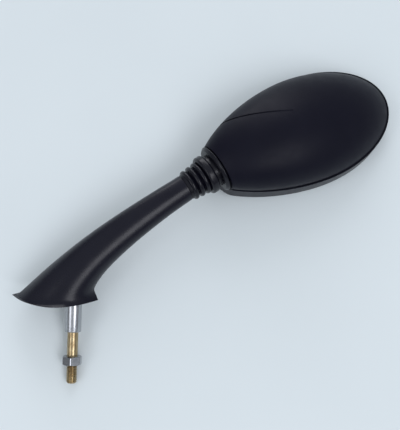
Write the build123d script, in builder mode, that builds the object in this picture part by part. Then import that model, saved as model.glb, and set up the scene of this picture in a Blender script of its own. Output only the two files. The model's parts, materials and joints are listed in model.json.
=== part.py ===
"""Left-hand motorcycle mirror: an egg-shaped head on a ball joint, a horn-shaped arm and a mounting bolt.

Frame: +Z is up along the mounting bolt, +X is outboard, +Y is rearwards, the side of the glass.
The origin is the centre of the spacer sleeve's lower face. Lengths are in millimetres.
"""

import os
from math import cos, radians, sin, sqrt, tan

from build123d import *

os.makedirs("parts", exist_ok=True)

# Mounting bolt, spacer sleeve and nut
bolt_diameter = 8.0
bolt_length = 80.0
bolt_head_flats = 13.0
bolt_head_height = 5.3
bolt_tip_chamfer = 1.0
thread_diameter = 7.6
sleeve_diameter = 12.0
sleeve_length = 42.0
sleeve_chamfer = 0.4
nut_flats = 13.0
nut_height = 6.5
nut_face_diameter = 12.7
nut_chamfer_angle = 30.0
nut_drop = 18.0
hex_turn = 28.4

# Arm: a hollow horn from a flared almond base to a round end
base_inboard = 46.0
base_outboard = 18.0
base_width = 40.0
base_height = 25.0
base_rake = 15.0
base_tilt = 2.0
lip_height = 6.5
lip_inboard = 9.6
lip_outboard = 3.1
lip_depth = 3.6
arm_reach = 79.6
arm_rise = 109.1
arm_lean = 8.0
arm_end_diameter = 20.4
arm_wall = 3.3
rim_wall = 4.4
upper_start_angle = 44.5
upper_handle = 56.0
lower_start_angle = 78.0
lower_start_handle = 18.0
lower_end_handle = 14.0
lower_lag = 1.45
arm_stations = 9
rim_slant = 0.7
lip_slant = 0.25
end_slant = 0.02
cavity_share = 0.34
boss_wall = 2.2
boss_recess = 2.0
rib_thickness = 2.2
rib_spacing = 17.0

# Ball joint
stem_pitch = 34.0
stem_drift = 12.0
neck_length = 38.0
ball_diameter = 15.0
stem_neck_diameter = 7.6
stem_neck_length = 20.0
stem_diameter = 10.0
stem_hold = 34.0
stem_groove = 0.6
stem_taper = 2.0
stem_chamfer = 1.0
spigot_diameter = 15.0
spigot_length = 8.0
spigot_bead = 0.5
spigot_chamfer = 1.0
seat_wall = 1.8
socket_wall = 2.2
socket_flange = 2.8
clamp_sheet = 1.8
clamp_gap = 0.8
mouth_angle = 44.0
screw_spread = 70.0
screw_diameter = 3.5
screw_length = 12.0
screw_head_diameter = 6.6
screw_head_height = 2.4
washer_thickness = 0.9
washer_diameter = 6.2
ear_radius = 4.0

# Boot: a rubber bellows with a collar let into the head
boot_wall = 1.5
boot_face_gap = 0.3
collar_seat = 8.0
collar_width = 3.8
collar_diameter = 38.4
collar_taper = 3.0
collar_edge = 0.8
groove_width = 3.1
ring_width = 6.6
ring_diameter = 30.6
ring_round = 1.8
ridge_count = 3
ridge_lead = 2.0
ridge_pitch = 5.05
ridge_bulge = 1.9
ridge_diameter_head = 26.0
ridge_diameter_arm = 24.0
boot_lip = 1.4

# Head: egg-shaped shell, bezel and glass
neck_bend = 8.0
head_roll = 12.0
head_offset = 75.5
head_tip = 67.2
head_neck = 93.0
neck_half_width = 8.7
shoulder_handle = 29.0
neck_handle_along = 24.0
neck_handle_across = 22.8
head_half_width = 43.0
dome_height = 36.0
dome_lean = 32.0
crease_turn = 21.7
crease_width = 1.1
crease_shift = 1.9
crease_drop = 0.25
crease_end = 20.0
crease_foot = 6.0
seam_level = -6.0
shell_wall = 2.5
end_wall = 2.5
bezel_depth = 14.0
bezel_flare = 1.3
bezel_edge = 1.4
bezel_round = 50.0
seam_slot_width = 0.55
seam_slot_depth = 2.0
seam_edge = 0.3
skirt_height = 3.0
skirt_wall = 1.6
tray_depth = 6.0
tray_floor = 1.7
glass_tip = 65.6
glass_neck = 72.0
glass_half_width = 40.5
glass_thickness = 2.0
glass_radius = 1200.0
rim_depth = 0.6
pad_margin = 4.0
pad_skin = 0.05
rib_level = 6.0
shell_rib = 1.8
shell_rib_pitch = 32.0

# Clearances
running_fit = 0.05
seat_fit = 0.03
part_clearance = 0.4
glass_clearance = 0.3
skirt_clearance = 0.15
cut_over = 1.0

# Directions: the stem leaves the arm's end at its pitch, and the shell's back faces the front of the bike
stem_axis = Vector(
    cos(radians(stem_drift)) * cos(radians(stem_pitch)),
    sin(radians(stem_drift)),
    cos(radians(stem_drift)) * sin(radians(stem_pitch)),
)
arm_end = Vector(arm_reach, arm_lean, arm_rise)
ball_centre = arm_end + stem_axis * neck_length
facing = (Vector(0, -1, 0) + stem_axis * sin(radians(stem_drift))).normalized()
back = facing.rotate(Axis((0, 0, 0), stem_axis), -head_roll)

# Local x of the neck plane runs from the ball towards the arm, and of the head plane towards the tip
neck = Plane(ball_centre, x_dir=-stem_axis, z_dir=back)
head = Plane(ball_centre, x_dir=stem_axis.rotate(Axis((0, 0, 0), back), -neck_bend), z_dir=back)
neck_line = Axis(ball_centre, stem_axis)


def neck_section(distance):
    """Plane across the stem at a distance from the ball, facing the arm."""
    return Plane(neck.from_local_coords(Vector(distance, 0, 0)), x_dir=back, z_dir=-stem_axis)


# Levels along the head's normal, measured from the ball's centre
front_level = seam_level - bezel_depth
tray_level = front_level + tray_depth
floor_level = tray_level + tray_floor
crown_level = front_level + rim_depth

# Radii and stations of the ball joint and boot
ball_radius = ball_diameter / 2
seat_radius = ball_radius + seat_wall
socket_bore = seat_radius + running_fit
socket_radius = socket_bore + socket_wall
screw_radius = socket_radius + ear_radius + part_clearance
core_bore = socket_radius + part_clearance
core_radius = core_bore + boot_wall
collar_back = collar_seat + collar_width
ring_front = collar_back + groove_width
ring_back = ring_front + ring_width
spigot_end = neck_length - spigot_length
lip_front = collar_seat - end_wall - running_fit
flange_front = lip_front - boot_lip - part_clearance
flange_level = clamp_gap / 2 + socket_flange
sheet_level = -clamp_gap / 2 - clamp_sheet


def neck_flank(side, inset=0.0):
    """Control points of the head's outline from its widest place to the neck, above (1) or below (-1)."""
    return [
        (0, side * (head_half_width - inset)),
        (-shoulder_handle, side * (head_half_width - inset)),
        (neck_handle_along - head_neck, side * (neck_half_width + neck_handle_across - inset)),
        (-head_neck, side * (neck_half_width - inset)),
    ]


def egg(level, inset=0.0):
    """Outline of the head at a level: an elliptical tip that narrows to the neck in two cubic flanks."""
    level_plane = head.offset(level)
    middle = level_plane.shift_origin(level_plane.from_local_coords(Vector(head_offset, 0, 0)))
    with BuildSketch(middle) as outline:
        with BuildLine():
            EllipticalCenterArc((0, 0), head_tip - inset, head_half_width - inset, -90, arc_size=180)
            upper = Bezier(*neck_flank(1, inset))
            lower = Bezier(*neck_flank(-1, inset))
            Line(upper @ 1, lower @ 1)
        make_face()
    return outline.sketch


def glass_egg(level, inset=0.0):
    """Outline of the mirror glass: two half ellipses on a common width."""
    half_width = glass_half_width - inset
    with BuildSketch(head.offset(level)) as outline:
        with BuildLine():
            EllipticalCenterArc((head_offset, 0), glass_tip - inset, half_width, -90, arc_size=180)
            EllipticalCenterArc((head_offset, 0), glass_neck - inset, half_width, 90, arc_size=180)
        make_face()
    return outline.sketch


def dome(inset=0.0):
    """Solid over the seam: the head's half outline revolved, then flattened and leant towards the neck."""
    with BuildPart() as turned:
        with BuildSketch():
            with BuildLine():
                EllipticalCenterArc((0, 0), head_tip - inset, head_half_width - inset, 0, arc_size=90)
                flank = Bezier(*neck_flank(1, inset))
                Polyline(flank @ 1, (-head_neck, 0), (head_tip - inset, 0))
            make_face()
        revolve(axis=Axis.X, revolution_arc=180)
    half_width = head_half_width - inset
    lean = Matrix(
        [
            [1, 0, -dome_lean / half_width, head_offset],
            [0, 1, 0, 0],
            [0, 0, (dome_height - inset) / half_width, seam_level],
            [0, 0, 0, 1],
        ]
    )
    return head.from_local_coords(turned.part.solid().transform_geometry(lean))


def ball_room(radius):
    """Space of a sphere that opens towards the arm in a cone, clear of the stem over the joint's swing."""
    length = collar_back + ring_width
    opening = length * tan(radians(mouth_angle))
    with BuildPart() as room:
        with BuildSketch(neck):
            with BuildLine():
                rim_arc = CenterArc((0, 0), radius, mouth_angle, 180 - mouth_angle)
                Polyline(rim_arc @ 0, (length, opening), (length, 0), rim_arc @ 1)
            make_face()
        revolve(axis=neck_line)
    return room.part


def clamp_outline(level):
    """Flange outline round the ball with one ear at each clamp screw."""
    with BuildSketch(head_clamp.offset(level)) as outline:
        Circle(socket_radius)
        with Locations(*screw_places):
            Circle(ear_radius)
        make_hull()
        with Locations((-flange_front, 0)):
            Rectangle(screw_radius, 4 * screw_radius, align=(Align.MAX, Align.CENTER), mode=Mode.SUBTRACT)
    return outline.sketch


# The clamp screws stand round the ball, two beside it and one behind it
head_clamp = Plane(ball_centre, x_dir=stem_axis, z_dir=back)
ball_frame = Plane(ball_centre, x_dir=back, z_dir=stem_axis)
screw_places = [
    (screw_radius * cos(radians(turn)), screw_radius * sin(radians(turn)))
    for turn in (-screw_spread, 0, screw_spread)
]

# Spacer sleeve
with BuildPart() as spacer_sleeve:
    with BuildSketch():
        Circle(sleeve_diameter / 2)
        Circle(bolt_diameter / 2 + running_fit, mode=Mode.SUBTRACT)
    extrude(amount=sleeve_length)
    sleeve_rims = spacer_sleeve.edges().filter_by(GeomType.CIRCLE).group_by(SortBy.RADIUS)[-1]
    chamfer(sleeve_rims, sleeve_chamfer)

# Mounting bolt, its head on the sleeve's upper face and its free thread below the nut
with BuildPart() as mounting_bolt:
    with BuildSketch(Plane.XY.offset(sleeve_length)):
        RegularPolygon(bolt_head_flats / 2, 6, major_radius=False, rotation=hex_turn)
    extrude(amount=bolt_head_height)
    with BuildSketch(Plane.XY.offset(sleeve_length)):
        Circle(bolt_diameter / 2)
    extrude(amount=-sleeve_length - nut_drop - nut_height)
    with BuildSketch(Plane.XY.offset(sleeve_length)):
        Circle(thread_diameter / 2)
    extrude(amount=-bolt_length)
    chamfer(mounting_bolt.faces().sort_by(Axis.Z)[0].edges(), bolt_tip_chamfer)

# Hex nut, both faces chamfered at the corners
with BuildPart() as hex_nut:
    nut_corner = nut_flats / sqrt(3)
    nut_face = nut_face_diameter / 2
    nut_outside = nut_corner + cut_over
    corner_drop = (nut_outside - nut_face) * tan(radians(nut_chamfer_angle))
    with BuildSketch(Plane.XY.offset(-nut_drop)):
        RegularPolygon(nut_flats / 2, 6, major_radius=False, rotation=hex_turn)
        Circle(bolt_diameter / 2 + running_fit, mode=Mode.SUBTRACT)
    extrude(amount=-nut_height)
    with BuildSketch(Plane.XZ):
        with Locations((0, -nut_drop)):
            Polygon(
                (0, 0),
                (nut_face, 0),
                (nut_outside, -corner_drop),
                (nut_outside, corner_drop - nut_height),
                (nut_face, -nut_height),
                (0, -nut_height),
                align=None,
            )
    revolve(axis=Axis.Z, mode=Mode.INTERSECT)

# Edges of the arm seen from the front: nearly straight above, hollow below
lip_level = base_height + lip_height


def rising(angle):
    """Direction in the XZ plane at an angle above +X."""
    return Vector(cos(radians(angle)), 0, sin(radians(angle)))


end_across = rising(stem_pitch + 90) * (arm_end_diameter / 2)
end_along = rising(stem_pitch)
end_middle = Vector(arm_reach, 0, arm_rise)
with BuildLine() as arm_edges:
    upper_start = Vector(lip_inboard - base_inboard, 0, lip_level)
    upper_edge = Bezier(
        upper_start,
        upper_start + rising(upper_start_angle) * upper_handle,
        end_middle + end_across - end_along * upper_handle,
        end_middle + end_across,
    )
    lower_start = Vector(base_outboard - lip_outboard, 0, lip_level)
    lower_edge = Bezier(
        lower_start,
        lower_start + rising(lower_start_angle) * lower_start_handle,
        end_middle - end_across - end_along * lower_end_handle,
        end_middle - end_across,
    )

arm_run = (end_middle - Vector((base_outboard - base_inboard) / 2, 0, base_height)).length
end_slope = arm_run * tan(radians(stem_drift))


def oval(plane, half_width, half_depth, slant):
    """Closed section of two cubic halves that meet at its left and right tips."""
    with BuildSketch(plane) as section:
        with BuildLine():
            for bulge in (half_depth * 4 / 3, -half_depth * 4 / 3):
                inner = half_width * (1 - slant)
                ends = (half_width, -half_width) if bulge > 0 else (-half_width, half_width)
                first = inner if bulge > 0 else -inner
                Bezier((ends[0], 0), (first, bulge), (-first, bulge), (ends[1], 0))
        make_face()
    return section.sketch


def arm_section(share, inset=0.0):
    """Section of the arm at a share of its length from the lip to the round end."""
    high = upper_edge.position_at(upper_edge.length * share, PositionMode.LENGTH)
    low = lower_edge.position_at(lower_edge.length * share**lower_lag, PositionMode.LENGTH)
    bow = (2 * arm_lean - end_slope) * share + (end_slope - arm_lean) * share**2
    chord = (low - high).normalized()
    lean = radians(stem_drift * share - base_rake * (1 - share) ** 2)
    normal = chord.cross(Vector(0, 1, 0)) * cos(lean) + Vector(0, sin(lean), 0)
    plane = Plane((high + low) / 2 + Vector(0, bow, 0), x_dir=chord, z_dir=normal)
    end_radius = arm_end_diameter / 2
    half_depth = end_radius + (base_width / 2 - lip_depth - end_radius) * (1 - share) ** 2
    half_width = (low - high).length / 2
    slant = end_slant + (lip_slant - end_slant) * (1 - share) ** 2
    return oval(plane, half_width - inset, half_depth - inset, slant)


rim = Plane(
    ((base_outboard - base_inboard) / 2, 0, base_height),
    x_dir=(1, 0, 0),
    z_dir=(0, -sin(radians(base_rake)), cos(radians(base_rake))),
).rotated((0, base_tilt, 0))


def rim_section(inset=0.0, drop=0.0):
    """Almond section of the base rim, pointed at both tips."""
    half_length = (base_inboard + base_outboard) / 2
    return oval(rim.offset(-drop), half_length - inset, base_width / 2 - inset, rim_slant)


# Hollow under the base, round the bolt's boss and the stiffening ribs
with BuildPart() as arm_hollow:
    hollow_shares = [cavity_share * step / 2 for step in range(3)]
    loft([rim_section(rim_wall, cut_over)] + [arm_section(share, arm_wall) for share in hollow_shares])
    with BuildSketch(Plane.XY.offset(base_height - base_width)):
        Circle(bolt_head_flats / sqrt(3) + boss_wall)
    extrude(amount=arm_rise, mode=Mode.SUBTRACT)
    with BuildSketch(Plane.XY.offset(base_height - base_width)):
        Rectangle(2 * base_inboard + 2 * base_outboard, rib_thickness)
        with Locations((-rib_spacing, 0)):
            Rectangle(rib_thickness, 2 * base_width)
    extrude(amount=arm_rise, mode=Mode.SUBTRACT)
with BuildPart() as base_recess:
    loft([rim_section(rim_wall, cut_over), rim_section(2 * rim_wall, -boss_recess)])

# Arm
with BuildPart() as arm:
    loft([rim_section()] + [arm_section(step / (arm_stations - 1)) for step in range(arm_stations)])
    add(arm_hollow.part, mode=Mode.SUBTRACT)
    add(base_recess.part, mode=Mode.SUBTRACT)
    with BuildSketch(neck):
        with BuildLine():
            Polyline(
                (neck_length + arm_wall, 0),
                (neck_length + arm_wall, spigot_diameter / 2),
                (spigot_end + spigot_chamfer, spigot_diameter / 2),
                (spigot_end, spigot_diameter / 2 - spigot_chamfer),
                (spigot_end, 0),
                close=True,
            )
        make_face()
        with Locations((spigot_end + spigot_length / 3, spigot_diameter / 2 - spigot_bead)):
            Circle(2 * spigot_bead)
    revolve(axis=neck_line)
    with BuildSketch(neck_section(spigot_end)):
        Circle(stem_diameter / 2 + seat_fit)
    extrude(amount=stem_hold, mode=Mode.SUBTRACT)
    with BuildSketch(Plane.XY):
        Circle(sleeve_diameter / 2 + seat_fit)
    extrude(amount=sleeve_length, mode=Mode.SUBTRACT)
    with BuildSketch(Plane.XY.offset(sleeve_length)):
        RegularPolygon(bolt_head_flats / 2 + seat_fit, 6, major_radius=False, rotation=hex_turn)
    extrude(amount=bolt_head_height + seat_fit, mode=Mode.SUBTRACT)

# Ball stem, grooved where the arm grips it
with BuildPart() as ball_stem:
    stem_end = spigot_end + stem_hold - seat_fit
    with BuildSketch(neck):
        with BuildLine():
            Polyline(
                (0, 0),
                (0, stem_neck_diameter / 2),
                (stem_neck_length, stem_neck_diameter / 2),
                (spigot_end - stem_taper, stem_diameter / 2),
                (stem_end - stem_chamfer, stem_diameter / 2),
                (stem_end, stem_diameter / 2 - stem_chamfer),
                (stem_end, 0),
                close=True,
            )
        make_face()
        with GridLocations(stem_hold / 4, 1, 3, 1):
            with Locations((spigot_end + stem_hold / 2, stem_diameter / 2)):
                Circle(stem_groove, mode=Mode.SUBTRACT)
    revolve(axis=neck_line)
    with Locations(ball_frame):
        Sphere(ball_radius)

# Boot
with BuildPart() as boot_collar:
    collar_radius = collar_diameter / 2
    with BuildSketch(neck):
        Polygon(
            (collar_seat + running_fit, core_bore + boot_wall / 2),
            (collar_seat + running_fit, collar_radius),
            (collar_back - collar_edge, collar_radius - collar_taper + collar_edge),
            (collar_back, collar_radius - collar_taper - collar_edge),
            (collar_back, core_bore + boot_wall / 2),
            align=None,
        )
    revolve(axis=neck_line)
    split(bisect_by=head.offset(seam_level + running_fit), keep=Keep.TOP)

with BuildPart() as boot:
    cuff_radius = spigot_diameter / 2 + running_fit
    valley_head = ridge_diameter_head / 2 - ridge_bulge
    valley_arm = ridge_diameter_arm / 2 - ridge_bulge
    hole_radius = core_radius + running_fit
    face = neck_length - boot_face_gap
    with BuildSketch(neck):
        Polygon(
            (face, cuff_radius),
            (face, valley_arm),
            (ring_back, valley_head),
            (ring_front, core_radius),
            (lip_front, core_radius),
            (lip_front, core_radius + boot_lip),
            (lip_front - boot_lip, core_radius),
            (lip_front - boot_lip, core_bore),
            (ring_front, core_bore),
            (ring_back, valley_head - boot_wall),
            (spigot_end - spigot_chamfer, valley_arm - boot_wall),
            (spigot_end - spigot_chamfer, cuff_radius),
            align=None,
        )
        with Locations(((ring_front + ring_back) / 2, (ring_diameter / 2 + valley_head) / 2)):
            RectangleRounded(ring_width, ring_diameter / 2 - valley_head, ring_round)
        for ridge in range(ridge_count):
            station = ring_back + ridge_lead + ridge * ridge_pitch
            spread = (ridge_diameter_arm - ridge_diameter_head) * ridge / max(ridge_count - 1, 1)
            with Locations((station, (ridge_diameter_head + spread) / 2 - ridge_bulge)):
                Circle(ridge_bulge)
        with Locations((spigot_end + spigot_length / 3, spigot_diameter / 2 - spigot_bead)):
            Circle(2 * spigot_bead + running_fit, mode=Mode.SUBTRACT)
    revolve(axis=neck_line)
    add(boot_collar.part)

# Friction seats: two nylon half shells between the ball and its socket
with BuildPart() as seat_ball:
    with Locations(ball_frame):
        Sphere(seat_radius)
    add(ball_room(ball_radius + seat_fit), mode=Mode.SUBTRACT)
with BuildPart() as seat_back:
    add(seat_ball.part)
    split(bisect_by=head.offset(clamp_gap / 4), keep=Keep.TOP)
with BuildPart() as seat_front:
    add(seat_ball.part)
    split(bisect_by=head.offset(-clamp_gap / 4), keep=Keep.BOTTOM)

# Socket base, screwed to the shell's posts
with BuildPart() as socket_base:
    with Locations(ball_frame):
        Sphere(socket_radius)
    extrude(clamp_outline(0), amount=flange_level)
    split(bisect_by=head.offset(clamp_gap / 2), keep=Keep.TOP)
    add(ball_room(socket_bore), mode=Mode.SUBTRACT)
    with BuildSketch(head_clamp):
        with Locations(*screw_places):
            Circle(screw_diameter / 2 + running_fit)
    extrude(amount=flange_level, mode=Mode.SUBTRACT)

# Clamp plate, pressed from sheet
with BuildPart() as clamp_plate:
    with Locations(ball_frame):
        Sphere(socket_bore + clamp_sheet)
    extrude(clamp_outline(sheet_level), amount=clamp_sheet + clamp_gap / 2)
    split(bisect_by=head.offset(-clamp_gap / 2), keep=Keep.BOTTOM)
    add(ball_room(socket_bore), mode=Mode.SUBTRACT)
    with BuildSketch(head_clamp):
        with Locations(*screw_places):
            Circle(screw_diameter / 2 + running_fit)
    extrude(amount=sheet_level, mode=Mode.SUBTRACT)

# Spring washers and clamp screws
with BuildPart() as spring_washers:
    with BuildSketch(head_clamp.offset(sheet_level)):
        with Locations(*screw_places):
            Circle(washer_diameter / 2)
            Circle(screw_diameter / 2 + running_fit, mode=Mode.SUBTRACT)
    extrude(amount=-washer_thickness)

with BuildPart() as clamp_screws:
    screw_level = sheet_level - washer_thickness
    with BuildSketch(head_clamp.offset(screw_level)):
        with Locations(*screw_places):
            Circle(screw_head_diameter / 2)
    extrude(amount=-screw_head_height)
    with BuildSketch(head_clamp.offset(screw_level)):
        with Locations(*screw_places):
            Circle(screw_diameter / 2)
    extrude(amount=screw_length)

# Rear shell: dome, end wall at the neck, screw posts and ribs
with BuildPart() as shell_hollow:
    add(dome(shell_wall))
    split(bisect_by=neck_section(collar_seat - end_wall), keep=Keep.BOTTOM)
    with BuildSketch(head_clamp.offset(flange_level)):
        with Locations(*screw_places):
            Circle(ear_radius)
            Circle(screw_diameter / 2 + running_fit, mode=Mode.SUBTRACT)
    extrude(amount=dome_height, mode=Mode.SUBTRACT)
    with BuildSketch(head.offset(rib_level)):
        with Locations((screw_radius + ear_radius, 0)):
            Rectangle(head_offset + head_tip, shell_rib, align=(Align.MIN, Align.CENTER))
        with Locations((head_offset, 0)):
            with GridLocations(shell_rib_pitch, 1, 2, 1):
                Rectangle(shell_rib, 2 * head_half_width)
    extrude(amount=dome_height, mode=Mode.SUBTRACT)

# Crease: a narrow groove over the upper shoulder. Its floor is the dome's own section, moved a little
# towards the tip and down, so that it grows shallow where the dome turns level
crease_normal = head.x_dir * sin(radians(crease_turn)) + head.y_dir * cos(radians(crease_turn))
crease = Plane(head.from_local_coords(Vector(head_offset, 0, 0)), x_dir=back, z_dir=crease_normal)
crease_section = section(dome(), section_by=crease, mode=Mode.PRIVATE)
crease_floor = crease_section.moved(Location(crease.y_dir * crease_shift - back * crease_drop))
with BuildPart() as crease_groove:
    with BuildSketch(crease):
        with Locations((seam_level + crease_foot, -crease_end)):
            Rectangle(dome_height, head_neck, align=(Align.MIN, Align.MAX))
    extrude(amount=crease_width / 2, both=True)
    extrude(crease_floor, amount=crease_width, both=True, mode=Mode.SUBTRACT)

with BuildPart() as rear_shell:
    add(dome())
    add(crease_groove.part, mode=Mode.SUBTRACT)
    split(bisect_by=neck_section(collar_seat), keep=Keep.BOTTOM)
    add(shell_hollow.part, mode=Mode.SUBTRACT)
    with BuildSketch(neck_section(collar_seat + cut_over)):
        Circle(hole_radius)
    extrude(amount=-end_wall - 2 * cut_over, mode=Mode.SUBTRACT)

# Front bezel: a wall a little wider than the shell, a dark slot round the shell's foot, a skirt inside the
# shell and a tray for the glass
with BuildPart() as bezel_skirt:
    add(dome(shell_wall + skirt_clearance))
    split(bisect_by=head.offset(seam_level + skirt_height), keep=Keep.BOTTOM)
    split(bisect_by=neck_section(lip_front - 2 * boot_lip), keep=Keep.BOTTOM)
    add(dome(shell_wall + skirt_clearance + skirt_wall), mode=Mode.SUBTRACT)

with BuildPart() as bezel_hollow:
    extrude(egg(floor_level, shell_wall + skirt_clearance + skirt_wall), amount=seam_level - floor_level)
    split(bisect_by=neck_section(collar_back - end_wall), keep=Keep.BOTTOM)

with BuildPart() as seam_slot:
    extrude(egg(seam_level + cut_over, -seam_slot_width), amount=-seam_slot_depth - cut_over)
    extrude(egg(seam_level + 2 * cut_over), amount=-seam_slot_depth - 4 * cut_over, mode=Mode.SUBTRACT)

with BuildPart() as front_bezel:
    loft(
        [
            egg(seam_level, seam_edge - bezel_flare),
            egg(seam_level - seam_edge, -bezel_flare),
            egg(front_level + bezel_edge, -bezel_flare),
            egg(front_level, bezel_edge - bezel_flare),
        ],
        ruled=True,
    )
    add(seam_slot.part, mode=Mode.SUBTRACT)
    with BuildSketch(head.offset(front_level)):
        with Locations((head_offset, 0)):
            Ellipse(head_offset + collar_back, bezel_round)
    extrude(amount=bezel_depth, mode=Mode.INTERSECT)
    add(bezel_hollow.part, mode=Mode.SUBTRACT)
    add(bezel_skirt.part)
    extrude(glass_egg(front_level, -glass_clearance), amount=tray_depth, mode=Mode.SUBTRACT)
    with BuildSketch(neck_section(collar_back + cut_over)):
        Circle(hole_radius)
    extrude(amount=-collar_back, mode=Mode.SUBTRACT)
    with BuildSketch(neck_section(lip_front + running_fit)):
        Circle(hole_radius + boot_lip)
    extrude(amount=-lip_front, mode=Mode.SUBTRACT)

# Mirror glass, slightly convex, and the foam pad behind it
sphere_middle = head.from_local_coords(Vector(head_offset, 0, crown_level + glass_radius))
glass_ball = Plane(sphere_middle, x_dir=back, z_dir=head.x_dir)
with BuildPart() as mirror_glass:
    extrude(glass_egg(front_level), amount=tray_depth)
    with Locations(glass_ball):
        Sphere(glass_radius, mode=Mode.INTERSECT)
        Sphere(glass_radius - glass_thickness, mode=Mode.SUBTRACT)

with BuildPart() as glass_pad:
    extrude(glass_egg(front_level, pad_margin), amount=tray_depth)
    with Locations(glass_ball):
        Sphere(glass_radius - glass_thickness - pad_skin, mode=Mode.INTERSECT)

# Each piece is named and written to a file of its own
arm.part.label = "arm"
export_step(arm.part, "parts/arm.step")
spacer_sleeve.part.label = "spacer_sleeve"
export_step(spacer_sleeve.part, "parts/spacer_sleeve.step")
mounting_bolt.part.label = "mounting_bolt"
export_step(mounting_bolt.part, "parts/mounting_bolt.step")
hex_nut.part.label = "hex_nut"
export_step(hex_nut.part, "parts/hex_nut.step")
ball_stem.part.label = "ball_stem"
export_step(ball_stem.part, "parts/ball_stem.step")
boot.part.label = "boot"
export_step(boot.part, "parts/boot.step")
seat_back.part.label = "seat_back"
export_step(seat_back.part, "parts/seat_back.step")
seat_front.part.label = "seat_front"
export_step(seat_front.part, "parts/seat_front.step")
socket_base.part.label = "socket_base"
export_step(socket_base.part, "parts/socket_base.step")
clamp_plate.part.label = "clamp_plate"
export_step(clamp_plate.part, "parts/clamp_plate.step")
spring_washers.part.label = "spring_washers"
export_step(spring_washers.part, "parts/spring_washers.step")
clamp_screws.part.label = "clamp_screws"
export_step(clamp_screws.part, "parts/clamp_screws.step")
rear_shell.part.label = "rear_shell"
export_step(rear_shell.part, "parts/rear_shell.step")
front_bezel.part.label = "front_bezel"
export_step(front_bezel.part, "parts/front_bezel.step")
mirror_glass.part.label = "mirror_glass"
export_step(mirror_glass.part, "parts/mirror_glass.step")
glass_pad.part.label = "glass_pad"
export_step(glass_pad.part, "parts/glass_pad.step")
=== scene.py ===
# %% [markdown]
# # A motorcycle mirror
# The solids of this mirror come from a CAD program, so every size and place is settled before Blender
# opens. Here they get their finishes, and the pieces whose beauty is in fine form are made again as
# surfaces worked out with numpy: the rubber boot, the bolt with its thread, the nut, the sleeve and the
# glass. Making everything by hand would be possible, but then the joints of the CAD model would no
# longer fit.

# %% Load the frame
import json

import bpy
import numpy as np
from mathutils import Matrix


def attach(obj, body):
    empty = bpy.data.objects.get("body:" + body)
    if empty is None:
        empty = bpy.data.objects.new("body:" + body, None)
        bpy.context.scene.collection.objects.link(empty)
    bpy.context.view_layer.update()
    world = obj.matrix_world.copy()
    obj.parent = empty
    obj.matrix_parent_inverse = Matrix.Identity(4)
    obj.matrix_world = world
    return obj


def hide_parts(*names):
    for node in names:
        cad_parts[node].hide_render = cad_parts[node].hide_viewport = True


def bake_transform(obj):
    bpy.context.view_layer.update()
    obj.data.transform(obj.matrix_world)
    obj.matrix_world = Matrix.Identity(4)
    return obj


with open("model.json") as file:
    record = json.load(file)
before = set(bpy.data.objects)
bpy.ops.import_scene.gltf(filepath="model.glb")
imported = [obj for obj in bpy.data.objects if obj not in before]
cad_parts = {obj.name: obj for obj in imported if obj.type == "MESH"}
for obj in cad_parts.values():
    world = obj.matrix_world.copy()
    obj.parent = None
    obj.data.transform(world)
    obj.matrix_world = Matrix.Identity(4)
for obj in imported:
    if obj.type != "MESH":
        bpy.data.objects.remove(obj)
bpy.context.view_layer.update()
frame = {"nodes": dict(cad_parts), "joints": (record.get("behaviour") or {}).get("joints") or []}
nodes = frame["nodes"]

# %% [markdown]
# ## Shared directions
# The mirror head sits on a ball, and the ball's stem leaves the arm's end at a slant. The pieces on the
# neck are all round that stem, so it pays to write down once where the ball is and which way the stem and
# the head's back point. The joints in the record hold exactly that: their common point is the ball's
# centre. Sizes below are in millimetres, and MM turns them into Blender's metres.

# %% Directions of the neck and head
MM = 0.001
joints = {joint["name"]: joint for joint in frame["joints"]}
ball = np.array(joints["head_tilt"]["pos_m"])
stem = np.array(joints["head_tilt"]["axis"])
upright = np.array(joints["head_pan"]["axis"])
back = np.array(joints["head_roll"]["axis"])
print("ball", np.round(ball / MM, 2), "stem", np.round(stem, 3), "back", np.round(back, 3))

# %% [markdown]
# ## Helpers for surfaces
# A surface on a grid is the plainest way to make a piece in code: rows follow a profile, columns go round
# or along. One helper joins the grid into four-sided faces, and another tells from the sign of the volume
# whether the faces look outwards. They work on whole arrays, so there is no loop over points.


# %% Faces of a grid, and whether they look outwards
def grid_faces(rows, columns, wrap_rows=False, wrap_columns=True):
    """Quads of a grid numbered row by row: each joins a point, the next one along, and the two beyond."""
    r = np.arange(rows if wrap_rows else rows - 1)[:, None]
    c = np.arange(columns if wrap_columns else columns - 1)[None, :]
    down = (r + 1) % rows
    along = (c + 1) % columns
    corners = [r * columns + c, r * columns + along, down * columns + along, down * columns + c]
    return np.stack(corners, -1).reshape(-1, 4)


def faces_outward(points, faces):
    """True where the volume is positive: the sum of each face's place times its area vector."""
    a, b, c, d = (points[faces[:, k]] - points.mean(0) for k in range(4))
    return np.einsum("ij,ij->", a + b + c + d, np.cross(c - a, d - b)) > 0


print("a grid of 3 rows and 4 columns that wraps round has", len(grid_faces(3, 4)), "faces")

# %% [markdown]
# A mesh in Blender is a list of points, a list of face corners, and where in that list each face starts.
# from_pydata fills them from Python lists. foreach_set copies a whole numpy array in one call, which is
# quicker for a bolt with nearly fifty thousand points. Smooth shading hides the grid, and edges sharper
# than a chosen angle stay crisp.


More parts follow.
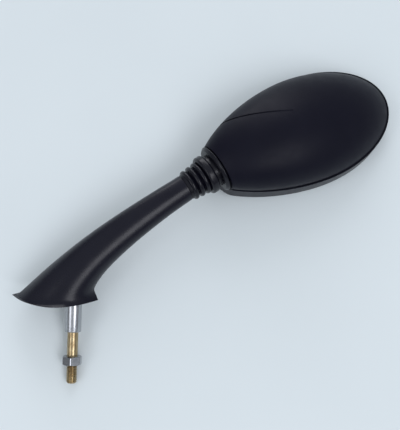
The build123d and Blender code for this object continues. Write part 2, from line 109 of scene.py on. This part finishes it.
# %% Object from points and faces
def make_piece(name, points, faces, sharp_angle=40.0, caps=()):
    """An object at the origin with these points in metres; edges sharper than the angle stay crisp.

    The faces are quads, and each cap is a ring of points that one flat face closes.
    """
    corners = np.concatenate([faces.ravel(), *caps])
    sizes = np.concatenate([np.full(len(faces), 4), [len(cap) for cap in caps]]).astype(int)
    mesh = bpy.data.meshes.new(name)
    mesh.vertices.add(len(points))
    mesh.vertices.foreach_set("co", points.astype(np.float32).ravel())
    mesh.loops.add(len(corners))
    mesh.loops.foreach_set("vertex_index", corners.astype(np.int32))
    mesh.polygons.add(len(sizes))
    mesh.polygons.foreach_set("loop_start", (np.cumsum(sizes) - sizes).astype(np.int32))
    mesh.update(calc_edges=True)
    if not faces_outward(points, faces):
        mesh.flip_normals()
    mesh.shade_smooth()
    mesh.set_sharp_from_angle(angle=np.radians(sharp_angle))
    piece = bpy.data.objects.new(name, mesh)
    bpy.context.scene.collection.objects.link(piece)
    print("made", name, len(points), "points", len(sizes), "faces")
    return piece


# %% [markdown]
# ## Helpers for finishes
# Each finish is a Principled shader fed by noise in Object coordinates. Object coordinates are in metres
# here, so a noise scale of 2500 has a grain of 0.4 mm. A finish could also be painted as a picture, but a
# picture needs an unwrapped surface and has a fixed sharpness, while noise is sharp at any distance. What
# turns noise into a colour or a roughness is a ramp: a row of stops that are mixed in between.


# %% Ramp helper
def fill_ramp(node, stops):
    """The ramp node gets these stops: each is a place from 0 to 1 and the colour or grey there."""
    bar = node.color_ramp.elements
    while len(bar) < len(stops):
        bar.new(0.5)
    for element, (position, shade) in zip(bar, stops):
        element.position = position
        element.color = (*shade, 1) if isinstance(shade, tuple) else (shade, shade, shade, 1)


# %% [markdown]
# A material is a tree of nodes. The class below keeps one tree with its shader and its Object coordinates
# at hand, so that a finish reads as a list of what is seen: this noise feeds the colour, that one the
# roughness, a third the fine relief. Written out node by node, each finish would repeat the same lines.


# %% Finish helper
class Finish:
    """A node material under construction: its Principled shader, Object coordinates and ways to add."""

    def __init__(self, name, **sockets):
        self.material = bpy.data.materials.new(name)
        self.material.use_nodes = True
        self.tree = self.material.node_tree
        self.shader = self.tree.nodes["Principled BSDF"]
        self.place = self.tree.nodes.new("ShaderNodeTexCoord").outputs["Object"]
        for socket, value in sockets.items():
            self.shader.inputs[socket.replace("_", " ")].default_value = value

    def add(self, kind, **values):
        """A new node; a value goes to its input of that name, linked where it is another node's output."""
        node = self.tree.nodes.new("ShaderNode" + kind)
        for key, value in values.items():
            socket = node.inputs[key.replace("_", " ")]
            if isinstance(value, bpy.types.NodeSocket):
                self.tree.links.new(value, socket)
            else:
                socket.default_value = value
        return node

    def noise(self, scale, detail=3.0, stretch=(1, 1, 1)):
        """Grey noise, its grain one over the scale in metres, drawn out along an axis of small stretch."""
        mapping = self.add("Mapping", Vector=self.place, Scale=stretch)
        return self.add("TexNoise", Vector=mapping.outputs[0], Scale=scale, Detail=detail).outputs["Fac"]

    def feed(self, socket, value, *stops):
        """The shader's socket follows this value through a ramp with these stops."""
        node = self.add("ValToRGB", Fac=value)
        fill_ramp(node, stops)
        self.tree.links.new(node.outputs["Color"], self.shader.inputs[socket])

    def bump(self, height, depth, strength):
        """Fine relief: the height signal stands for this depth in metres."""
        node = self.add("Bump", Height=height, Distance=depth, Strength=strength)
        self.tree.links.new(node.outputs["Normal"], self.shader.inputs["Normal"])


# %% [markdown]
# ## Camera
# The photograph looks square at the shell's back from about half a metre away, with the bolt leaning a
# little to the right. A camera can be pointed with a constraint, but its matrix written out says plainly
# what is right, up and back. The lens follows from the distance and from how many millimetres one pixel
# covers.

# %% Camera at the photograph's place
camera_distance = 530.0
camera_x = 91.63
camera_z = 89.2
camera_lean = np.radians(1.7)
millimetres_per_pixel = 0.742
long_side_pixels = 430
sensor_width = 36.0
camera = bpy.data.objects.new("camera", bpy.data.cameras.new("camera"))
camera.data.sensor_width = sensor_width
camera.data.lens = sensor_width * camera_distance / millimetres_per_pixel / long_side_pixels
camera.matrix_world = Matrix(
    [
        [np.cos(camera_lean), -np.sin(camera_lean), 0, camera_x * MM],
        [0, 0, -1, -camera_distance * MM],
        [np.sin(camera_lean), np.cos(camera_lean), 0, camera_z * MM],
        [0, 0, 0, 1],
    ]
)
bpy.context.scene.collection.objects.link(camera)
bpy.context.scene.camera = camera
print("lens", round(camera.data.lens, 2), "mm")

# %% [markdown]
# ## Rubber boot
# The boot is a moulded rubber bellows: narrow ridges, one big ring, a groove, and a collar let into the
# head. Each part of it is a profile turned about the stem. It is cut in two at the valley before the big
# ring, so that the bellows and the ring could follow different joints. The profile is a chain of
# arcs and corners, with sharp valleys between the ridges, as moulded rubber has. On the inside the cuff
# has a groove for the bead of the arm's spigot, and the bore widens so that the stem stays clear.

# %% Profiles and turning
round_steps = 144


def arc(station, radius, size, first, last, steps=14):
    """Size times the cosine and sine of first to last degrees, round (station, radius); 90 is outwards."""
    turn = np.radians(np.linspace(first, last, steps))
    return np.stack([station + size * np.cos(turn), radius + size * np.sin(turn)], 1)


def turned_piece(name, profile):
    """A closed profile turned full circle about the stem.

    A point is the ball's centre, less its station along the stem, plus its radius in the turn's direction.
    """
    turn = np.linspace(0, 2 * np.pi, round_steps, endpoint=False)
    round_stem = np.cos(turn)[:, None] * back + np.sin(turn)[:, None] * upright
    places = profile[:, :1, None] * -stem + profile[:, 1:, None] * round_stem[None]
    faces = grid_faces(len(profile), round_steps, wrap_rows=True)
    return make_piece(name, ball + places.reshape(-1, 3) * MM, faces)


ridge_stations = np.array([23.5, 28.55, 33.6])
ridge_radii = np.array([13.0, 12.5, 12.0])
bulge = 1.9


def ridge(number):
    """One ridge of the bellows as an arc over its crest, from the arm's side to the head's."""
    return arc(ridge_stations[number], ridge_radii[number] - bulge, bulge, 12, 168)


print("ridges", ridge_stations, "mm from the ball, radii", ridge_radii)

# %% [markdown]
# Stations count millimetres from the ball towards the arm, radii from the stem's middle. Both halves hold
# the same two points of the cut, so no gap opens between them. The halves could be one mesh; they are
# kept apart so that each could follow a joint of its own.

# %% Bellows and ring
cut_station = 21.57
cut_inside = (cut_station, 9.6)
cut_outside = (cut_station, 11.3)
cuff_face = 37.6
cuff_bore = 7.6
groove_bore = 8.2
bellows_profile = np.concatenate(
    [
        [(28.6, 8.4), (31.0, cuff_bore), (31.5, cuff_bore), (32.1, groove_bore), (33.2, groove_bore)],
        [(33.8, cuff_bore), (cuff_face, cuff_bore), (cuff_face, 9.8), (36.2, 10.3)],
        ridge(2),
        [(31.1, 10.0)],
        ridge(1),
        [(26.0, 10.5)],
        ridge(0),
        [cut_outside, cut_inside, (27.6, 8.7)],
    ]
)
ring_profile = np.concatenate(
    [
        [cut_inside, cut_outside],
        arc(19.5, 13.3, 2.0, 0, 90),
        arc(17.0, 13.2, 2.1, 90, 176),
        [(14.9, 12.95), (8.0, 12.9), (5.5, 12.9)],
        [(5.5, 14.8), (4.1, 13.4), (4.1, 12.0), (14.9, 12.0)],
    ]
)
boot_bellows = turned_piece("boot_bellows", bellows_profile)
boot_ring = turned_piece("boot_ring", ring_profile)

# %% [markdown]
# The collar is a band that stops at the seam of the head, so it isn't a full circle. Each point of its
# profile turns as far as the seam's plane allows at its own radius: the angle's cosine is the seam's
# level over the radius. The two ends come out flat, and quads across the profile close them. A full ring
# cut by a Boolean would give the same shape, with ragged faces along the cut.

# %% Collar
seam_level = -5.95
collar_steps = 120
collar_front = 8.05
collar_back = 11.8
collar_bore = 13.2
collar_profile = np.concatenate(
    [
        [(collar_front, collar_bore), (collar_front, 16.6), (9.0, 16.8)],
        arc(9.7, 18.1, 0.7, 180, 50, 8),
        arc(10.9, 16.6, 0.9, 45, -10, 7),
        [(collar_back, 15.2), (collar_back, collar_bore)],
    ]
)


def collar_points(profile):
    """Each radius turns from -1 to 1 times the angle at which it meets the seam's plane."""
    share = np.linspace(-1, 1, collar_steps)
    turn = share[None, :] * np.arccos(seam_level / profile[:, 1])[:, None]
    round_stem = np.cos(turn)[..., None] * back + np.sin(turn)[..., None] * upright
    places = profile[:, :1, None] * -stem + profile[:, 1:, None] * round_stem
    return ball + places.reshape(-1, 3) * MM


def capped_faces(rows, columns):
    """A closed profile's grid, open along its columns, with each end closed by quads across the profile."""
    sides = grid_faces(rows, columns, wrap_rows=True, wrap_columns=False)
    step = np.arange(rows // 2 - 1)
    ladder = np.stack([step, step + 1, rows - 2 - step, rows - 1 - step], 1)
    return np.concatenate([sides, ladder[:, ::-1] * columns, ladder * columns + columns - 1])


collar_faces = capped_faces(len(collar_profile), collar_steps)
boot_collar = make_piece("boot_collar", collar_points(collar_profile), collar_faces)

# %% [markdown]
# ## Bolt, sleeve and nut
# All three stand round the Z axis, so they share one grid: a level, a turn, and a radius that may change
# with both. A hexagon is a radius too: the flat's distance over the largest of the six cosines, rounded a
# little at the corners by a high power mean. Bars with six sides could be extruded instead, but then the
# chamfers would have to be cut.

# %% Round and hexagonal grids about the bolt
turns = np.linspace(0, 2 * np.pi, 180, endpoint=False)
across_flats = 13.0


def hexagon(flats, sharpness=70.0, lean_degrees=28.4):
    """Radius of a hexagon at each turn: half the flats over a high power mean of the six cosines."""
    middles = np.radians(lean_degrees + 60.0 * np.arange(6) + 30.0)
    cosines = np.clip(np.cos(turns[:, None] - middles[None, :]), 0, None)
    return flats / 2 / (cosines**sharpness).sum(1) ** (1 / sharpness)


def about_bolt(levels, radii):
    """Radius times the turn's cosine and sine, at each level; a level has a row of radii, or one radius."""
    radii = np.broadcast_to(radii, (len(levels), len(turns)))
    z = np.broadcast_to(levels[:, None], radii.shape)
    return np.stack([radii * np.cos(turns), radii * np.sin(turns), z], -1).reshape(-1, 3) * MM


def end_rings(rows, columns):
    """First and last row of a grid that wraps round, each in the order that closes it with the quads."""
    ring = np.arange(columns)
    return ring[::-1], (rows - 1) * columns + ring


print("hexagon corners", round(hexagon(across_flats).max(), 2), "mm from the axis")

# %% [markdown]
# The bolt is an M8 screw with a smooth yellow shank, a rolled thread and a hexagon head inside the arm. A
# thread could be a spiral swept along a helix; here it is the shank's own radius, lowered and raised by
# how far a point is along the pitch once its turn about the axis is taken off. The thread fades in below
# the shank over one pitch and narrows at the tip.

# %% Thread
pitch = 1.25
crest = 3.98
root = 3.36
thread_start = -17.2
thread_end = -37.6
thread_taper = 0.6
flank_slope = 1.25
crest_flat = 0.12
thread_levels = np.linspace(thread_start, thread_end, 260)
along = (thread_levels[:, None] / pitch + turns[None, :] / (2 * np.pi)) % 1.0
tooth = np.clip(np.abs(2 * along - 1) * flank_slope - crest_flat, 0, 1)
fade = np.clip((thread_start - thread_levels) / pitch, 0, 1)[:, None]
taper = np.clip((thread_levels - thread_end) / thread_taper, 0, 1)[:, None]
thread_radii = np.minimum(crest - (crest - root) * tooth * fade, root + (crest - root) * taper)
print("thread of", round((thread_start - thread_end) / pitch, 1), "turns")

# %% [markdown]
# Head, shank, thread and tip are one grid from the top down, with a flat cap at each end. The head sits
# on the sleeve's top; there two rows share a level, which makes the step from hexagon to shank square.
# Separate solids could be joined by a Boolean, but one grid is closed from the start.

# %% Threaded bolt
sleeve_top = 42.0
bolt_head_top = 47.3
bolt_head_bevel = 0.3
bolt_head_face = 6.3
bolt_head_rim = 6.9
bolt_tip = -38.0
bolt_tip_radius = 3.1
shank_radius = 4.0
shank_end_radius = 3.99
below_head = 0.1
above_thread = 0.05
head_radii = hexagon(across_flats)
head_levels = [bolt_head_top, bolt_head_top - bolt_head_bevel, sleeve_top]
shank_levels = [sleeve_top, sleeve_top - below_head, thread_start + above_thread]
bolt_levels = np.concatenate([head_levels, shank_levels, thread_levels, [bolt_tip]])
circle = np.ones(len(turns))
bolt_radii = np.concatenate(
    [
        [np.minimum(head_radii, bolt_head_face), np.minimum(head_radii, bolt_head_rim), head_radii],
        [shank_radius * circle, shank_radius * circle, shank_end_radius * circle],
        thread_radii,
        [bolt_tip_radius * circle],
    ]
)
bolt_faces = grid_faces(len(bolt_levels), len(turns))
bolt_ends = end_rings(len(bolt_levels), len(turns))
bolt = make_piece("bolt", about_bolt(bolt_levels, bolt_radii), bolt_faces, caps=bolt_ends)

# %% [markdown]
# A nut is a hexagon cut by a cone at both faces, which leaves the curved chamfers that every nut has. The
# radius at each place is simply the smaller of the two, the cone's and the hexagon's, so the curve needs
# no cut. The grid goes on through the bore and comes back to its start.

# %% Hex nut, chamfered at both faces
nut_top = -18.0
nut_bottom = -24.5
nut_face_radius = 6.25
nut_corner_radius = 7.55
nut_bore = 4.05
countersink_radius = 4.5
countersink_depth = 0.45
chamfer_slope = np.tan(np.radians(30))
chamfer_fall = np.linspace(0, 1, 12) * (nut_corner_radius - nut_face_radius) * chamfer_slope
chamfer_radii = nut_face_radius + chamfer_fall / chamfer_slope
outer_levels = [[nut_top], nut_top - chamfer_fall, nut_bottom + chamfer_fall[::-1], [nut_bottom]]
bore_levels = [nut_bottom + countersink_depth, nut_top - countersink_depth]
nut_levels = np.concatenate([*outer_levels, bore_levels])
cone = np.concatenate([[countersink_radius], chamfer_radii, chamfer_radii[::-1], [countersink_radius]])
outer_radii = np.minimum(cone[:, None], hexagon(across_flats)[None, :])
nut_radii = np.concatenate([outer_radii, np.full((len(bore_levels), len(turns)), nut_bore)])
nut_faces = grid_faces(len(nut_levels), len(turns), wrap_rows=True)
nut = make_piece("nut", about_bolt(nut_levels, nut_radii), nut_faces, sharp_angle=25.0)

# %% [markdown]
# The sleeve is a length of turned tube with broken edges. Five outside corners and two inside ones are
# all that its profile needs, and turning does the rest. A cylinder with a Bevel modifier would be close,
# but the lower edge is rounder than the upper one, and a profile can say so.

# %% Spacer sleeve
sleeve_bore = 4.05
sleeve_radius = 6.0
sleeve_edge = 0.4
sleeve_profile = np.array(
    [
        (sleeve_bore, 0.0),
        (5.55, 0.0),
        (5.85, 0.1),
        (sleeve_radius, sleeve_edge),
        (sleeve_radius, sleeve_top - sleeve_edge),
        (sleeve_radius - sleeve_edge, sleeve_top),
        (sleeve_bore, sleeve_top),
    ]
)
sleeve_points = about_bolt(sleeve_profile[:, 1], sleeve_profile[:, :1])
sleeve_faces = grid_faces(len(sleeve_profile), len(turns), wrap_rows=True)
sleeve = make_piece("sleeve", sleeve_points, sleeve_faces, sharp_angle=30.0)

# %% [markdown]
# ## Mirror glass
# The glass is a slightly convex plate, silvered behind, with ground edges. Its outline is two half
# ellipses on a common width. The plate is a grid of rings: each ring is the outline drawn in by a share,
# lifted by the sphere's rise, half the distance squared over the sphere's radius. A flat plate would be
# simpler, but a convex one shows the room bent, as real motorcycle mirrors do.

# %% Convex glass plate
glass_length_tip = 65.6
glass_length_neck = 72.0
glass_half_width = 40.5
glass_thickness = 2.0
glass_front = -19.4
sphere_radius = 1200.0
head_offset = 75.5
head_bend = np.radians(8.0)
head_along = np.cos(head_bend) * stem - np.sin(head_bend) * np.cross(back, stem)
head_across = np.cross(back, head_along)


def glass_rings(shares, lifts):
    """Rings of the plate: outline times share, at the front's level plus the sphere's rise plus a lift."""
    length = np.where(np.cos(turns) > 0, glass_length_tip, glass_length_neck)
    u = shares[:, None] * (length * np.cos(turns))[None, :]
    v = shares[:, None] * (glass_half_width * np.sin(turns))[None, :]
    w = glass_front + (u**2 + v**2) / (2 * sphere_radius) + lifts[:, None]
    places = (u + head_offset)[..., None] * head_along + v[..., None] * head_across + w[..., None] * back
    return ball + places.reshape(-1, 3) * MM


middle_share = 0.002
rim_share = 0.985
edge_shares = [0.996, 1.0, 1.0, 0.996]
edge_lifts = [0.12, 0.5, 1.6, 1.9]
front_shares = np.linspace(middle_share, rim_share, 40)
rear_shares = np.linspace(rim_share, middle_share, 12)
rear_lifts = np.full(len(rear_shares), glass_thickness)
ring_shares = np.concatenate([front_shares, edge_shares, rear_shares])
ring_lifts = np.concatenate([np.zeros(len(front_shares)), edge_lifts, rear_lifts])
glass_points = glass_rings(ring_shares, ring_lifts)
glass_faces = grid_faces(len(ring_shares), len(turns))
glass_ends = end_rings(len(ring_shares), len(turns))
glass = make_piece("glass", glass_points, glass_faces, sharp_angle=35.0, caps=glass_ends)

# %% [markdown]
# ## Black moulded plastic
# Shell, bezel and arm are the same black plastic from a spark-eroded mould: nearly black, satin, with a
# very fine even grain. Light shows on it as wide soft strips. One flat black would look like paint, so a
# slow noise mixes two, and the roughness drifts a little, as it does where hands have polished the part.


# %% Plastic of the arm and of the head
def moulded(name, low, high, gloss):
    """Near-black plastic with fine grain, its roughness drifting from low to high; gloss is reflectance."""
    finish = Finish(name, Specular_IOR_Level=gloss)
    drift = finish.noise(45.0, 4.0)
    finish.feed("Base Color", drift, (0.3, (0.0032, 0.0032, 0.0095)), (0.7, (0.0047, 0.0047, 0.0115)))
    finish.feed("Roughness", finish.noise(160.0, 3.0), (0.25, low), (0.75, high))
    finish.bump(finish.noise(2600.0, 2.0), 0.00004, 0.5)
    return finish


arm_plastic = moulded("moulded_black_arm", 0.25, 0.31, 0.26)
shell_plastic = moulded("moulded_black_shell", 0.4, 0.48, 0.12)
bezel_plastic = moulded("moulded_black_bezel", 0.32, 0.4, 0.25)
print("three plastics")

# %% [markdown]
# ## Black rubber
# The boot is rubber, a shade deeper and smoother than the plastic, so its highlights are smaller and
# brighter. A pale bloom lies on it in faint patches. Colour and roughness could have a noise each, but
# here one noise drives both, because where rubber has bloomed it is paler and duller at once.

# %% Rubber
rubber = Finish("black_rubber", Specular_IOR_Level=0.28)
bloom = rubber.noise(220.0, 5.0)
rubber.feed("Base Color", bloom, (0.35, (0.0025, 0.0025, 0.0065)), (0.8, (0.004, 0.004, 0.0085)))
rubber.feed("Roughness", bloom, (0.3, 0.22), (0.75, 0.3))
rubber.bump(rubber.noise(1500.0, 2.0), 0.00003, 0.4)
print("rubber")

# %% [markdown]
# ## Plated steel
# Sleeve and nut are bright zinc, the nut a little darker and smoother. The bolt is yellow zinc, stained
# brown in patches. Tools have left fine rings round all three: noise drawn out flat across the axis. The
# rings could be cut into the mesh, but that would take hundreds of rows for what the eye sees only as a
# soft streak.

# %% Bright and yellow zinc
lathe_rings = (0.02, 0.02, 1)


def plated(name, dull, bright, smooth):
    """Plated steel: a cloud of two greys, roughness that follows it, and rings left by the lathe."""
    finish = Finish(name, Metallic=1.0)
    cloud = finish.noise(300.0, 4.0)
    finish.feed("Base Color", cloud, (0.3, dull), (0.75, bright))
    finish.feed("Roughness", cloud, (0.3, smooth), (0.8, smooth + 0.06))
    finish.bump(finish.noise(2200.0, 2.0, lathe_rings), 0.00001, 0.25)
    return finish


zinc = plated("bright_zinc", (0.37, 0.38, 0.4), (0.45, 0.46, 0.48), 0.22)
nut_zinc = plated("nut_zinc", (0.28, 0.29, 0.31), (0.4, 0.41, 0.43), 0.12)

yellow = Finish("yellow_zinc", Metallic=1.0)
stain = yellow.noise(420.0, 5.0, (1, 1, 0.6))
brown = (0.27, 0.19, 0.1)
straw = (0.4, 0.31, 0.18)
gold = (0.5, 0.42, 0.27)
yellow.feed("Base Color", stain, (0.25, brown), (0.5, straw), (0.8, gold))
yellow.feed("Roughness", stain, (0.3, 0.36), (0.75, 0.22))
yellow.bump(yellow.noise(2400.0, 2.0, lathe_rings), 0.00002, 0.5)
print("three platings")

# %% [markdown]
# ## Silvered glass
# A mirror is nearly a perfect metal to the eye. It could be clear glass over a silver layer, as it is in
# life, but that adds little beyond a faint second image, so one metal does. What gives it away as a thing
# that has been handled is a thin film, so the roughness rises from almost nothing in soft smudges.

# %% Mirror
silver = Finish("mirror", Metallic=1.0)
smudge = silver.noise(38.0, 6.0)
silver.feed("Base Color", smudge, (0.3, (0.86, 0.885, 0.89)), (0.7, (0.91, 0.93, 0.935)))
silver.feed("Roughness", smudge, (0.45, 0.012), (0.8, 0.05))
print("mirror")

# %% [markdown]
# ## Inside pieces
# Ball, seats, socket, clamp and pad sit inside the head. The picture never shows them, so a flat colour
# would do there, yet someone may take the head apart. So they get the finish they have on a bench: ground
# steel, nylon, glass-filled nylon and foam, and for the clamp the sleeve's bright zinc.

# %% Finishes of the inside
steel = Finish("ground_steel", Metallic=1.0)
steel_cloud = steel.noise(500.0, 3.0)
steel.feed("Base Color", steel_cloud, (0.3, (0.44, 0.44, 0.45)), (0.7, (0.56, 0.56, 0.57)))
steel.feed("Roughness", steel_cloud, (0.3, 0.24), (0.7, 0.36))
nylon = Finish("nylon", Roughness=0.4, Subsurface_Weight=0.1)
nylon.feed("Base Color", nylon.noise(300.0, 3.0), (0.3, (0.66, 0.64, 0.57)), (0.7, (0.76, 0.75, 0.7)))
filled = Finish("filled_nylon", Roughness=0.6)
fibres = filled.noise(900.0, 3.0)
filled.feed("Base Color", fibres, (0.35, (0.03, 0.03, 0.033)), (0.7, (0.06, 0.06, 0.065)))
filled.bump(filled.noise(1800.0, 2.0), 0.00005, 0.5)
foam = Finish("foam", Roughness=0.9)
cells = foam.noise(1200.0, 2.0)
foam.feed("Base Color", cells, (0.35, (0.05, 0.05, 0.05)), (0.65, (0.12, 0.12, 0.12)))
foam.bump(cells, 0.0002, 0.8)
print("four finishes for the inside")

# %% [markdown]
# ## Dressing the CAD pieces
# The arm, the shell, the bezel and what is inside the head keep their CAD meshes, which arrive as patches
# that don't share points. A Weld modifier joins the patches and an Edge Split keeps the true corners, so
# light runs smoothly over the joins. The points could be merged in the mesh itself, but a CAD mesh has to
# stay as it came.


# %% CAD pieces
def wear(piece, finish):
    """The piece's own materials are cleared, and it shows this finish."""
    piece.data.materials.clear()
    piece.data.materials.append(finish.material)


dressed = {
    "arm": (arm_plastic, "moulded_black"),
    "rear_shell": (shell_plastic, "moulded_black"),
    "front_bezel": (bezel_plastic, "moulded_black"),
    "ball_stem": (steel, "ground_steel"),
    "seat_back": (nylon, "nylon"),
    "seat_front": (nylon, "nylon"),
    "socket_base": (filled, "filled_nylon"),
    "clamp_plate": (zinc, "bright_zinc"),
    "spring_washers": (zinc, "bright_zinc"),
    "clamp_screws": (zinc, "bright_zinc"),
    "glass_pad": (foam, "foam"),
}
weld_distance = 0.00001
corner_angle = np.radians(32)
for name, (finish, slot) in dressed.items():
    node = nodes[name]
    wear(node, finish)
    node.data.shade_smooth()
    weld = node.modifiers.new("weld", "WELD")
    weld.merge_threshold = weld_distance
    corners = node.modifiers.new("corners", "EDGE_SPLIT")
    corners.split_angle = corner_angle
print("dressed", len(dressed), "CAD pieces")

# %% [markdown]
# ## Riding on the joints
# Each rigid new piece takes its finish, the CAD piece it stands for is hidden, and it hangs from the
# empty of the body that carries it; the collar goes with the head. The bellows and the ring take the
# rubber and hide the CAD boot. Beside each stand the bodies it lies between, the one that tilts and the
# one that pans for the bellows, that one and the head for the ring, and the stations from the ball where it
# would bend, which are printed. The cuff stays round the arm's spigot, so the bellows' span starts near
# the spigot's end.

# %% Bodies of the new pieces
for piece, finish, slot, node, body in [
    (bolt, yellow, "yellow_zinc", "mounting_bolt", "stand"),
    (sleeve, zinc, "bright_zinc", "spacer_sleeve", "stand"),
    (nut, nut_zinc, "bright_zinc", "hex_nut", "nut"),
    (glass, silver, "mirror", "mirror_glass", "head"),
    (boot_collar, rubber, "black_rubber", "boot", "head"),
]:
    wear(piece, finish)
    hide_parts(node)
    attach(piece, body)
for piece, first, second, start, end in [
    (boot_bellows, "boot", "seats", 31.0, 21.8),
    (boot_ring, "seats", "head", 21.5, 12.5),
]:
    wear(piece, rubber)
    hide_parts("boot")
    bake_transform(piece)
    print(piece.name, "bends from", start, "to", end, "mm from the ball")

# %% [markdown]
# ## Stage
# In the photograph the mirror lies glass down on a pale table, and the camera looks down on it. The table
# here is a plane through the three places that would touch it: the head's upper rim, the back of the
# arm's base and a corner of the nut. A box under the mirror would do as well, but a plane can be made to
# let everything through when it is seen from behind, so that the glass can be looked at too.

# %% Table
nut_corner = np.array([0.2, 7.5, -23.8]) * MM
base_back = np.array([-14.3, 19.3, 30.2]) * MM
head_rim = np.array([217.4, 63.7, 200.3]) * MM
table_half = 3.0
table_normal = np.cross(base_back - nut_corner, head_rim - nut_corner)
table_normal /= np.linalg.norm(table_normal)
table_right = np.cross([0.0, 0.0, 1.0], table_normal)
table_right /= np.linalg.norm(table_right)
table_up = np.cross(table_normal, table_right)
reach = np.array([(-1, -1), (-1, 1), (1, 1), (1, -1)]) * table_half
table_corners = nut_corner + reach[:, :1] * table_right + reach[:, 1:] * table_up
table_mesh = bpy.data.meshes.new("table")
table_mesh.from_pydata(table_corners.tolist(), [], [(0, 1, 2, 3)])
table = bpy.data.objects.new("table", table_mesh)
bpy.context.scene.collection.objects.link(table)
print("table faces", np.round(table_mesh.polygons[0].normal, 3))

# %% [markdown]
# The table's paper is pale and a touch blue. Its shader gives way to a clear one where a ray meets the
# back of the plane, or has passed through something clear already. The table could be hidden for views
# from behind, but then each view would need a scene of its own.

# %% Pale table that shows from its upper side only
table_finish = Finish("pale_table", Roughness=0.7, Specular_IOR_Level=0.2)
paper = table_finish.noise(6.0, 4.0)
table_finish.feed("Base Color", paper, (0.3, (0.685, 0.74, 0.755)), (0.7, (0.705, 0.76, 0.775)))
tree = table_finish.tree
seen_from_behind = tree.nodes.new("ShaderNodeNewGeometry").outputs["Backfacing"]
passed_through = tree.nodes.new("ShaderNodeLightPath").outputs["Transparent Depth"]
behind = tree.nodes.new("ShaderNodeMath")
behind.operation = "MAXIMUM"
mix = tree.nodes.new("ShaderNodeMixShader")
clear = tree.nodes.new("ShaderNodeBsdfTransparent")
tree.links.new(seen_from_behind, behind.inputs[0])
tree.links.new(passed_through, behind.inputs[1])
tree.links.new(behind.outputs[0], mix.inputs[0])
tree.links.new(table_finish.shader.outputs[0], mix.inputs[1])
tree.links.new(clear.outputs[0], mix.inputs[2])
tree.links.new(mix.outputs[0], tree.nodes["Material Output"].inputs["Surface"])
table_mesh.materials.append(table_finish.material)
print("table paper")

# %% [markdown]
# ## Light
# The photograph was taken in a room with broad soft light. The world is that room: grey walls that grow
# paler overhead, and a pale ground for looking at the glass from below. Its tone depends on one number,
# how far a direction leans from the table's upright. A picture of a room could light the scene too, but
# it would bring shapes that the photograph doesn't show.

# %% Room
room_tint = np.array([0.92, 0.97, 1.03])
room_levels = [(0.0, 0.72), (0.42, 0.6), (0.5, 0.24), (0.7, 0.48), (0.85, 0.64), (1.0, 0.66)]
world = bpy.data.worlds.new("pale_room")
bpy.context.scene.world = world
world.use_nodes = True
room = world.node_tree
direction = room.nodes.new("ShaderNodeTexCoord").outputs["Generated"]
upward = room.nodes.new("ShaderNodeVectorMath")
upward.operation = "DOT_PRODUCT"
upward.inputs[1].default_value = tuple(-table_normal)
share = room.nodes.new("ShaderNodeMapRange")
share.inputs["From Min"].default_value = -1.0
tones = room.nodes.new("ShaderNodeValToRGB")
fill_ramp(tones, [(position, tuple(room_tint * level)) for position, level in room_levels])
room.links.new(direction, upward.inputs[0])
room.links.new(upward.outputs["Value"], share.inputs["Value"])
room.links.new(share.outputs["Result"], tones.inputs["Fac"])
room.links.new(tones.outputs["Color"], room.nodes["Background"].inputs["Color"])
print("room with", len(room_levels), "tones")

# %% [markdown]
# Soft windows do the rest, and their places can be read from the photograph: the sleeve is a round mirror
# and shows two bright lines, one for a window on the left and one on the right, and the upper shoulder of
# the shell is lit from beyond its top. An area lamp's power is its brightness times pi times its area, so
# a window can be written as what the mirror sees of it: how wide, how high and how bright.

# %% Windows
mirror_middle = np.array([0.1, 0.03, 0.09])
daylight = (0.97, 0.98, 1.04)


def window(name, aim, width, height, level, away=3.0):
    """A soft lamp that spans width by height degrees from the mirror, and looks as bright as its level."""
    lamp = bpy.data.objects.new(name, bpy.data.lights.new(name, "AREA"))
    size = 2 * away * np.tan(np.radians([width, height]) / 2)
    lamp.data.shape = "RECTANGLE"
    lamp.data.size = size[0]
    lamp.data.size_y = size[1]
    lamp.data.energy = level * np.pi * size[0] * size[1]
    lamp.data.color = daylight
    aim = np.array(aim) / np.linalg.norm(aim)
    right = np.cross([0.0, 0.0, 1.0], aim)
    right /= np.linalg.norm(right)
    rows = np.stack([right, np.cross(aim, right), aim, mirror_middle + away * aim], 1)
    lamp.matrix_world = Matrix([*rows.tolist(), [0, 0, 0, 1]])
    lamp.visible_camera = False
    bpy.context.scene.collection.objects.link(lamp)
    print("window", name, round(lamp.data.energy, 1), "W")


window("main_window", (0.45, -0.86, -0.26), 20, 38, 4.4)
window("left_window", (-0.6, -0.75, -0.3), 20, 36, 2.0)
window("top_window", (-0.15, -0.12, 0.98), 60, 20, 3.4)
bpy.context.scene.view_settings.view_transform = "Standard"
